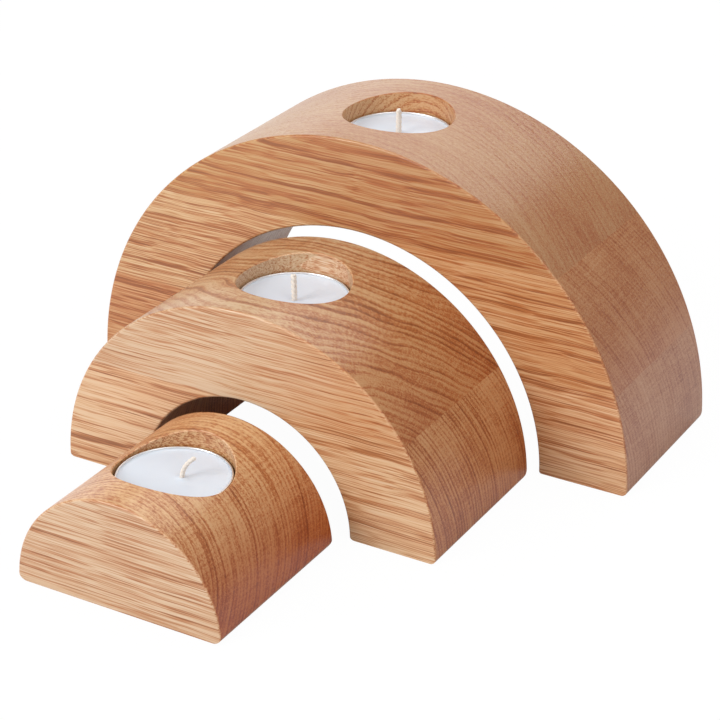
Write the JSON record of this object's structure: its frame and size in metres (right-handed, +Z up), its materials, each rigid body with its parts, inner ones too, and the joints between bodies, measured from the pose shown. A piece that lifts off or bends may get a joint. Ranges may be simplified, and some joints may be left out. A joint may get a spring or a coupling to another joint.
{
  "type": "candle holder",
  "caption": "Nesting wooden candle holder: a large arch, a medium arch and a small half-round block, each bored in its crown for a tealight.",
  "frame": {"origin": "on the table, under the middle of the group as it stands pulled apart", "axes": "+X across the arches to the right, +Y to the back, where the large arch stands, +Z up; the small block stands at the front"},
  "size_m": [0.221, 0.2154, 0.1114],
  "materials": {
    "oak_large": "oiled oak, open pored, silky",
    "oak_medium": "oiled oak, open pored, silky",
    "oak_small": "oiled oak, open pored, silky",
    "cup_aluminium": "bright drawn sheet",
    "candle_wax": "white paraffin wax, faintly see-through, with a soft shine",
    "cotton_wick": "braided cotton, waxed",
    "clip_steel": "tinned sheet steel"
  },
  "bodies": {
    "large_arch": {"large_crown_board": "oak_large", "large_left_shoulder_board": "oak_large", "large_right_shoulder_board": "oak_large", "large_left_foot_board": "oak_large", "large_right_foot_board": "oak_large"},
    "medium_arch": {"medium_crown_board": "oak_medium", "medium_left_foot_board": "oak_medium", "medium_right_foot_board": "oak_medium"},
    "small_half_round": {"small_block": "oak_small"},
    "large_tealight": {"large_tealight_cup": "cup_aluminium", "large_tealight_wax": "candle_wax", "large_tealight_wick": "cotton_wick", "large_tealight_clip": "clip_steel"},
    "medium_tealight": {"medium_tealight_cup": "cup_aluminium", "medium_tealight_wax": "candle_wax", "medium_tealight_wick": "cotton_wick", "medium_tealight_clip": "clip_steel"},
    "small_tealight": {"small_tealight_cup": "cup_aluminium", "small_tealight_wax": "candle_wax", "small_tealight_wick": "cotton_wick", "small_tealight_clip": "clip_steel"}
  },
  "joints": [
    {"name": "medium_arch_slide", "type": "slide", "parent": "large_arch", "child": "medium_arch", "axis": [0, 1, 0], "range_m": [0, 0.0725]},
    {"name": "small_block_slide", "type": "slide", "parent": "medium_arch", "child": "small_half_round", "axis": [0, 1, 0], "range_m": [0, 0.075]},
    {"name": "large_tealight_lift", "type": "slide", "parent": "large_arch", "child": "large_tealight", "axis": [0, 0, -1], "range_m": [-0.03, 0]},
    {"name": "medium_tealight_lift", "type": "slide", "parent": "medium_arch", "child": "medium_tealight", "axis": [0, 0, -1], "range_m": [-0.03, 0]},
    {"name": "small_tealight_lift", "type": "slide", "parent": "small_half_round", "child": "small_tealight", "axis": [0, 0, -1], "range_m": [-0.03, 0]}
  ]
}
